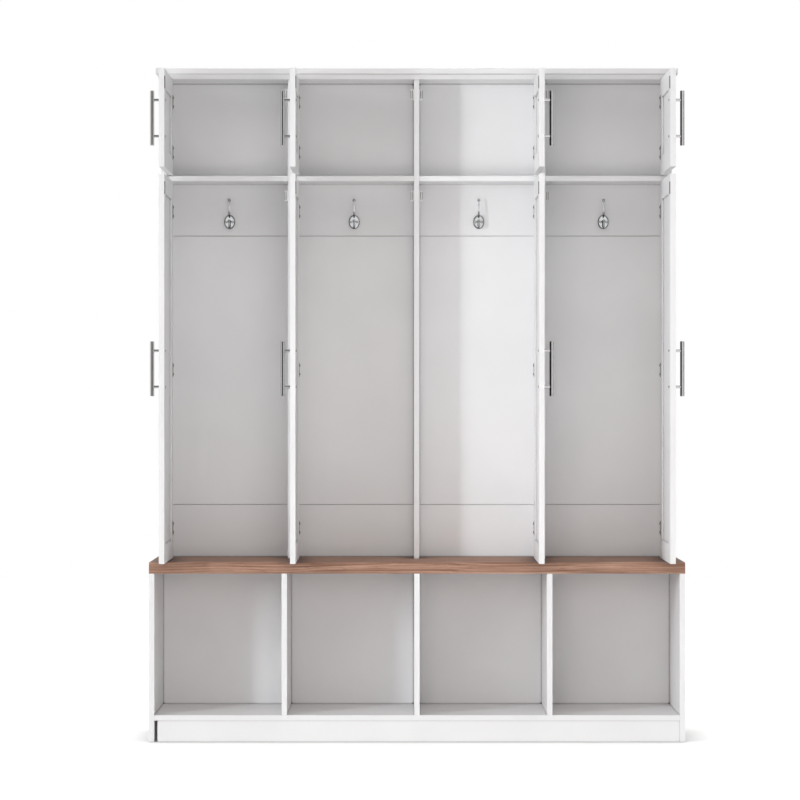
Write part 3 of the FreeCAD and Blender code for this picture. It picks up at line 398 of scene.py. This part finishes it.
def moulded_plastic(finish):
    """Moulded white ABS: matt, with the fine spark texture of its mould."""
    material, tree = empty_material("abs_moulded_white")
    flow = grain(tree, finish.flow, stretch=(1, 1, 3))
    # The real texture is about a tenth of a millimetre fine, and is drawn coarser so that it shows.
    spark = grain(tree, finish.spark)
    surface(tree, {
        "Base Color": tint(tree, flow, finish.plastic, finish.plastic_flow),
        "IOR": 1.53,
        "Roughness": add_node(tree, "ShaderNodeMapRange", {
            "Value": spark, **NOISE_SPAN, "To Min": 0.46, "To Max": 0.60}),
        "Normal": add_node(tree, "ShaderNodeBump", {
            "Height": spark, "Distance": 0.03 * MM, "Strength": 0.3}),
    })
    return material


def raw_beech(finish):
    """Turned beech, left raw: pale and dull, with short darker flecks along the dowel."""
    material, tree = empty_material("beech_turned_raw")
    fleck = grain(tree, finish.fleck, stretch=(1, 1, 5))
    surface(tree, {
        "Base Color": tint(tree, fleck, finish.beech, finish.beech_fleck, start=0.5),
        "IOR": 1.5,
        "Roughness": 0.7,
    })
    return material


def matt_card(name, tone):
    """Painted card or black cloth for the stage: one even colour without any shine."""
    material, tree = empty_material(name)
    surface(tree, {"Base Color": tone, "Roughness": 1.0})
    return material


def dress(names, material, edge=0.0):
    """Gives nodes of the frame a material and, if an edge is named, softened edges."""
    for name in names:
        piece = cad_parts[name]
        for slot in piece.material_slots:
            slot.material = material
        if edge > 0:
            weld = piece.modifiers.new("weld", "WELD")
            weld.merge_threshold = JOINED_CORNERS
            bevel = piece.modifiers.new("soft_edge", "BEVEL")
            bevel.width = edge
            bevel.segments = EDGE_STEPS
            bevel.limit_method = "ANGLE"
            bevel.angle_limit = SHARP_EDGE
            bevel.use_clamp_overlap = True
            bevel.harden_normals = True


class HallTreeOperator:
    """What every operator of the hall tree shares."""

    bl_options = {"REGISTER", "UNDO"}

    def finish(self, context):
        return context.scene.hall_tree_finish


class HALLTREE_OT_boards(HallTreeOperator, bpy.types.Operator):
    """Lacquers the boards of the base and the cabinet, and the sheets behind them"""

    bl_idname = "hall_tree.boards"
    bl_label = "Boards"

    def execute(self, context):
        finish = self.finish(context)
        lacquer = satin_lacquer(finish, "satin_lacquer_on_board", GLUED_PAINTED_SHADE)
        dress(CARCASS_BOARDS, lacquer, finish.edge)
        dress(BACK_SHEETS, hardboard_sheet(finish))
        return {"FINISHED"}


class HALLTREE_OT_bench(HallTreeOperator, bpy.types.Operator):
    """Oils the walnut bench top"""

    bl_idname = "hall_tree.bench"
    bl_label = "Bench top"

    def execute(self, context):
        dress(("bench_top",), oiled_walnut(self.finish(context)))
        return {"FINISHED"}


class HALLTREE_OT_doors(HallTreeOperator, bpy.types.Operator):
    """Lacquers the frames and panels of the doors"""

    bl_idname = "hall_tree.doors"
    bl_label = "Doors"

    def execute(self, context):
        finish = self.finish(context)
        on_frames = satin_lacquer(finish, "satin_lacquer_on_doors", GLUED_PAINTED_SHADE)
        dress([f"{door}_frame" for door in DOORS], on_frames, finish.edge)
        on_panels = satin_lacquer(finish, "satin_lacquer_on_loose_panels", LOOSE_PAINTED_SHADE)
        dress([f"{door}_panel" for door in DOORS], on_panels)
        return {"FINISHED"}


class HALLTREE_OT_pulls(HallTreeOperator, bpy.types.Operator):
    """Plates the bar pulls"""

    bl_idname = "hall_tree.pulls"
    bl_label = "Pulls"

    def execute(self, context):
        dress([f"{door}_pull" for door in DOORS], polished_nickel(self.finish(context)))
        return {"FINISHED"}


class HALLTREE_OT_hooks(HallTreeOperator, bpy.types.Operator):
    """Plates the coat hooks"""

    bl_idname = "hall_tree.hooks"
    bl_label = "Coat hooks"

    def execute(self, context):
        dress(("coat_hooks",), cast_hooks(self.finish(context)))
        return {"FINISHED"}


class HALLTREE_OT_hinges(HallTreeOperator, bpy.types.Operator):
    """Plates the hinges, their pins and screws, and the steel of the catches"""

    bl_idname = "hall_tree.hinges"
    bl_label = "Hinges and steel"

    def execute(self, context):
        zinc = plated_steel(self.finish(context))
        dress(CARCASS_STEEL, zinc)
        dress([f"{door}_fittings" for door in DOORS], zinc)
        return {"FINISHED"}


class HALLTREE_OT_catches(HallTreeOperator, bpy.types.Operator):
    """Finishes the housings of the door catches"""

    bl_idname = "hall_tree.catches"
    bl_label = "Catches"

    def execute(self, context):
        finish = self.finish(context)
        dress(("door_catches",), moulded_plastic(finish), finish.catch_edge)
        return {"FINISHED"}


class HALLTREE_OT_dowels(HallTreeOperator, bpy.types.Operator):
    """Finishes the dowels inside the joints"""

    bl_idname = "hall_tree.dowels"
    bl_label = "Dowels"

    def execute(self, context):
        dress(("assembly_dowels",), raw_beech(self.finish(context)))
        return {"FINISHED"}


# Lamps and camera stand upright when they are tipped up by this much.
UPRIGHT = radians(90)

# Floor a little under the hall tree, and its tone where it is seen.
FLOOR_LEVEL = -0.5 * MM
SEEN_FLOOR_TONE = (0.45, 0.45, 0.45, 1.0)

# Tints of the lights, as linear red, green and blue.
KEY_TINT = (0.91, 0.955, 1.0)
FILL_TINT = (1.0, 0.95, 0.915)
ROOM_TINT = (1.0, 0.975, 0.955, 1.0)
WHITE = (1.0, 1.0, 1.0, 1.0)

# Where the broad lights of the room come from, and how narrow they are.
ABOVE_FRONT = Vector((0.0, -0.65, 1.0)).normalized()
FROM_LEFT = Vector((-1.0, -0.4, 0.1)).normalized()
FROM_RIGHT = Vector((1.0, -0.4, 0.0)).normalized()
FROM_REAR = Vector((0.3, 1.0, 0.4)).normalized()
NARROW = 10.0
BROAD = 4.0
VERY_BROAD = 2.0

# Rays that don't meet a card, and rays that don't meet a flag.
PAST_CARDS = ("camera", "diffuse", "transmission", "shadow")
PAST_FLAGS = ("camera", "diffuse", "glossy", "transmission")

# Gap in millimetres between a card and the face of the door behind it.
CARD_GAP = 0.7


def seen_share(tree):
    """One where the camera sees a surface, by itself, in metal or through glass, and else zero."""
    seen = add_node(tree, "ShaderNodeLightPath", output="Is Camera Ray")
    for name in ("Is Glossy Ray", "Is Transmission Ray"):
        other = add_node(tree, "ShaderNodeLightPath", output=name)
        seen = add_node(tree, "ShaderNodeMath", {0: seen, 1: other}, operation="MAXIMUM")
    return seen


class HALLTREE_OT_stage(HallTreeOperator, bpy.types.Operator):
    """Sets the floor, the light and the camera"""

    bl_idname = "hall_tree.stage"
    bl_label = "Stage"

    def execute(self, context):
        stage = context.scene.hall_tree_stage
        context.scene.view_settings.view_transform = "Standard"
        self.lay_floor(context, stage)
        self.hang_cards(context, stage)
        self.light_room(context, stage)
        self.light_key(context, stage)
        self.flag_hinge_gaps(context, stage)
        self.light_fill(context, stage)
        self.set_camera(context, stage)
        return {"FINISHED"}

    def sheet(self, context, name, material, corners):
        """A flat sheet of the stage between four corners."""
        shape = bmesh.new()
        bmesh.ops.contextual_create(shape, geom=[shape.verts.new(corner) for corner in corners])
        mesh = bpy.data.meshes.new(name)
        shape.to_mesh(mesh)
        shape.free()
        mesh.materials.append(material)
        piece = bpy.data.objects.new(name, mesh)
        context.scene.collection.objects.link(piece)
        return piece

    def upright_sheet(self, context, name, material, past, x, y, z):
        """An upright sheet that some rays pass: its ends on the plan, foot and head, in millimetres."""
        corners = [
            (x[end] * MM, y[end] * MM, z[level] * MM)
            for end, level in ((0, 0), (1, 0), (1, 1), (0, 1))
        ]
        piece = self.sheet(context, name, material, corners)
        for ray in past:
            setattr(piece, f"visible_{ray}", False)

    def lay_floor(self, context, stage):
        material, tree = empty_material("pale_floor")
        # Near the hall tree the floor loses its glow, so that shadows stay on it.
        clear = add_node(
            tree, "ShaderNodeAmbientOcclusion", {"Distance": stage.floor_shadow}, "AO",
            samples=CORNER_RAYS)
        shares = []
        for tone, glow in ((stage.floor, stage.floor_light), (SEEN_FLOOR_TONE, stage.floor_seen)):
            matt = add_node(tree, "ShaderNodeBsdfDiffuse", {"Color": tone})
            level = add_node(tree, "ShaderNodeMath", {0: clear, 1: glow}, operation="MULTIPLY")
            light = add_node(tree, "ShaderNodeEmission", {"Strength": level})
            shares.append(add_node(tree, "ShaderNodeAddShader", {0: matt, 1: light}))
        lighting, seen = shares
        whole = add_node(tree, "ShaderNodeMixShader", {0: seen_share(tree), 1: lighting, 2: seen})
        add_node(tree, "ShaderNodeOutputMaterial", {"Surface": whole})
        half = stage.floor_width / 2
        self.sheet(context, "floor", material, [
            (half * x, half * y, FLOOR_LEVEL) for x, y in ((-1, -1), (1, -1), (1, 1), (-1, 1))])

    def hang_cards(self, context, stage):
        # Only reflections show the cards. Dark ones in front give the round pulls their dark line,
        # with a gap between them where the coat hooks reflect white, and a grey one stands at the right.
        dark = matt_card("dark_card", stage.card)
        grey = matt_card("grey_card", stage.grey_card)
        front = {"x": (-1600, 50), "y": (-1600, -1600)}
        self.upright_sheet(context, "low_card", dark, PAST_CARDS, **front, z=(0, 1250))
        self.upright_sheet(context, "high_card", dark, PAST_CARDS, **front, z=(1760, 5000))
        self.upright_sheet(
            context, "right_card", grey, PAST_CARDS, x=(1700, 1700), y=(-1800, 400), z=(0, 2600))
        # Painted shade in reflections: a dark card, seen only by reflections, covers the outer face of each
        # open right-hand door, so that the right-hand pulls reflect it as deep shade.
        for number, face in RIGHT_DOOR_FACES.items():
            self.upright_sheet(
                context, f"door_{number}_card", dark, PAST_CARDS,
                x=(face + CARD_GAP, face + CARD_GAP), y=(-305, -210), z=(900, 1850))

    def light_room(self, context, stage):
        world = bpy.data.worlds.new("studio")
        world.use_nodes = True
        context.scene.world = world
        tree = world.node_tree
        tree.nodes.clear()
        direction = add_node(tree, "ShaderNodeTexCoord", output="Generated")
        level = stage.room_light
        for source, narrowness, light in (
            (ABOVE_FRONT, NARROW, stage.top_light),
            (FROM_LEFT, BROAD, stage.left_light),
            (FROM_RIGHT, BROAD, stage.right_light),
            (FROM_REAR, VERY_BROAD, stage.rear_light),
        ):
            facing = add_node(
                tree, "ShaderNodeVectorMath", {0: direction, 1: source}, "Value", operation="DOT_PRODUCT")
            facing = add_node(tree, "ShaderNodeMath", {0: facing, 1: 0.0}, operation="MAXIMUM")
            lobe = add_node(tree, "ShaderNodeMath", {0: facing, 1: narrowness}, operation="POWER")
            level = add_node(
                tree, "ShaderNodeMath", {0: lobe, 1: light, 2: level}, operation="MULTIPLY_ADD")
        room = add_node(tree, "ShaderNodeBackground", {"Color": ROOM_TINT, "Strength": level})
        white = add_node(tree, "ShaderNodeBackground", {"Color": WHITE, "Strength": 1.0})
        whole = add_node(tree, "ShaderNodeMixShader", {0: seen_share(tree), 1: room, 2: white})
        add_node(tree, "ShaderNodeOutputWorld", {"Surface": whole})

    def light_key(self, context, stage):
        lamp = bpy.data.lights.new("key", "AREA")
        lamp.shape = "RECTANGLE"
        lamp.size = stage.key_width
        lamp.size_y = stage.key_height
        lamp.energy = stage.key_strength
        lamp.color = KEY_TINT
        lamp.use_nodes = True
        tree = lamp.node_tree
        tree.nodes.clear()
        # The light doesn't fade on its way, so that near and far boards are lit alike.
        reach = add_node(tree, "ShaderNodeLightFalloff", {"Strength": 1.0}, "Constant")
        light = add_node(tree, "ShaderNodeEmission", {"Strength": reach})
        add_node(tree, "ShaderNodeOutputLight", {"Surface": light})
        self.hang_lamp(context, lamp, stage.key_place, -stage.key_turn)

    def light_fill(self, context, stage):
        lamp = bpy.data.lights.new("fill", "AREA")
        lamp.size = stage.fill_width
        lamp.energy = stage.fill_strength
        lamp.color = FILL_TINT
        self.hang_lamp(context, lamp, stage.fill_place, 0.0)

    def hang_lamp(self, context, lamp, spot, turn):
        """Hangs a lamp upright. Reflections show the cards and the room, and not the lamp."""
        piece = bpy.data.objects.new(lamp.name, lamp)
        piece.location = spot
        piece.rotation_euler = (UPRIGHT, 0.0, turn)
        piece.visible_glossy = False
        context.scene.collection.objects.link(piece)

    def flag_hinge_gaps(self, context, stage):
        # A narrow flag keeps the key light out of the open hinge gap of each left-hand door.
        cloth = matt_card("flag_cloth", stage.card)
        for line in LEFT_HINGE_LINES:
            self.upright_sheet(
                context, "flag", cloth, PAST_FLAGS,
                x=(line + 2, line - 1), y=(30, 34.9), z=(505, 1872))

    def set_camera(self, context, stage):
        lens = bpy.data.cameras.new("camera")
        lens.lens = stage.lens
        lens.sensor_width = stage.sensor
        camera = bpy.data.objects.new("camera", lens)
        camera.location = stage.camera_place
        camera.rotation_euler = (UPRIGHT, 0.0, 0.0)
        context.scene.collection.objects.link(camera)
        context.scene.camera = camera


class HALLTREE_PT_panel(bpy.types.Panel):
    """Lists the steps that finish the hall tree"""

    bl_idname = "HALLTREE_PT_panel"
    bl_label = "Hall tree"
    bl_space_type = "VIEW_3D"
    bl_region_type = "UI"
    bl_category = "Hall tree"

    def draw(self, context):
        for operator in OPERATORS:
            self.layout.operator(operator.bl_idname)
        for group in (context.scene.hall_tree_finish, context.scene.hall_tree_stage):
            box = self.layout.box()
            for name in group.__annotations__:
                box.prop(group, name)


OPERATORS = (
    HALLTREE_OT_stage,
    HALLTREE_OT_boards,
    HALLTREE_OT_bench,
    HALLTREE_OT_doors,
    HALLTREE_OT_pulls,
    HALLTREE_OT_hooks,
    HALLTREE_OT_hinges,
    HALLTREE_OT_catches,
    HALLTREE_OT_dowels,
)
CLASSES = (HallTreeFinish, HallTreeStage) + OPERATORS + (HALLTREE_PT_panel,)


def register():
    """Makes the settings, the operators and the panel known."""
    for cls in CLASSES:
        bpy.utils.register_class(cls)
    bpy.types.Scene.hall_tree_finish = PointerProperty(type=HallTreeFinish)
    bpy.types.Scene.hall_tree_stage = PointerProperty(type=HallTreeStage)


def unregister():
    """Takes the settings, the operators and the panel away again."""
    del bpy.types.Scene.hall_tree_stage
    del bpy.types.Scene.hall_tree_finish
    for cls in reversed(CLASSES):
        bpy.utils.unregister_class(cls)


def main():
    """Finishes the hall tree step by step."""
    register()
    bpy.ops.hall_tree.stage()
    bpy.ops.hall_tree.boards()
    bpy.ops.hall_tree.bench()
    bpy.ops.hall_tree.doors()
    bpy.ops.hall_tree.pulls()
    bpy.ops.hall_tree.hooks()
    bpy.ops.hall_tree.hinges()
    bpy.ops.hall_tree.catches()
    bpy.ops.hall_tree.dowels()


if __name__ == "__main__":
    main()
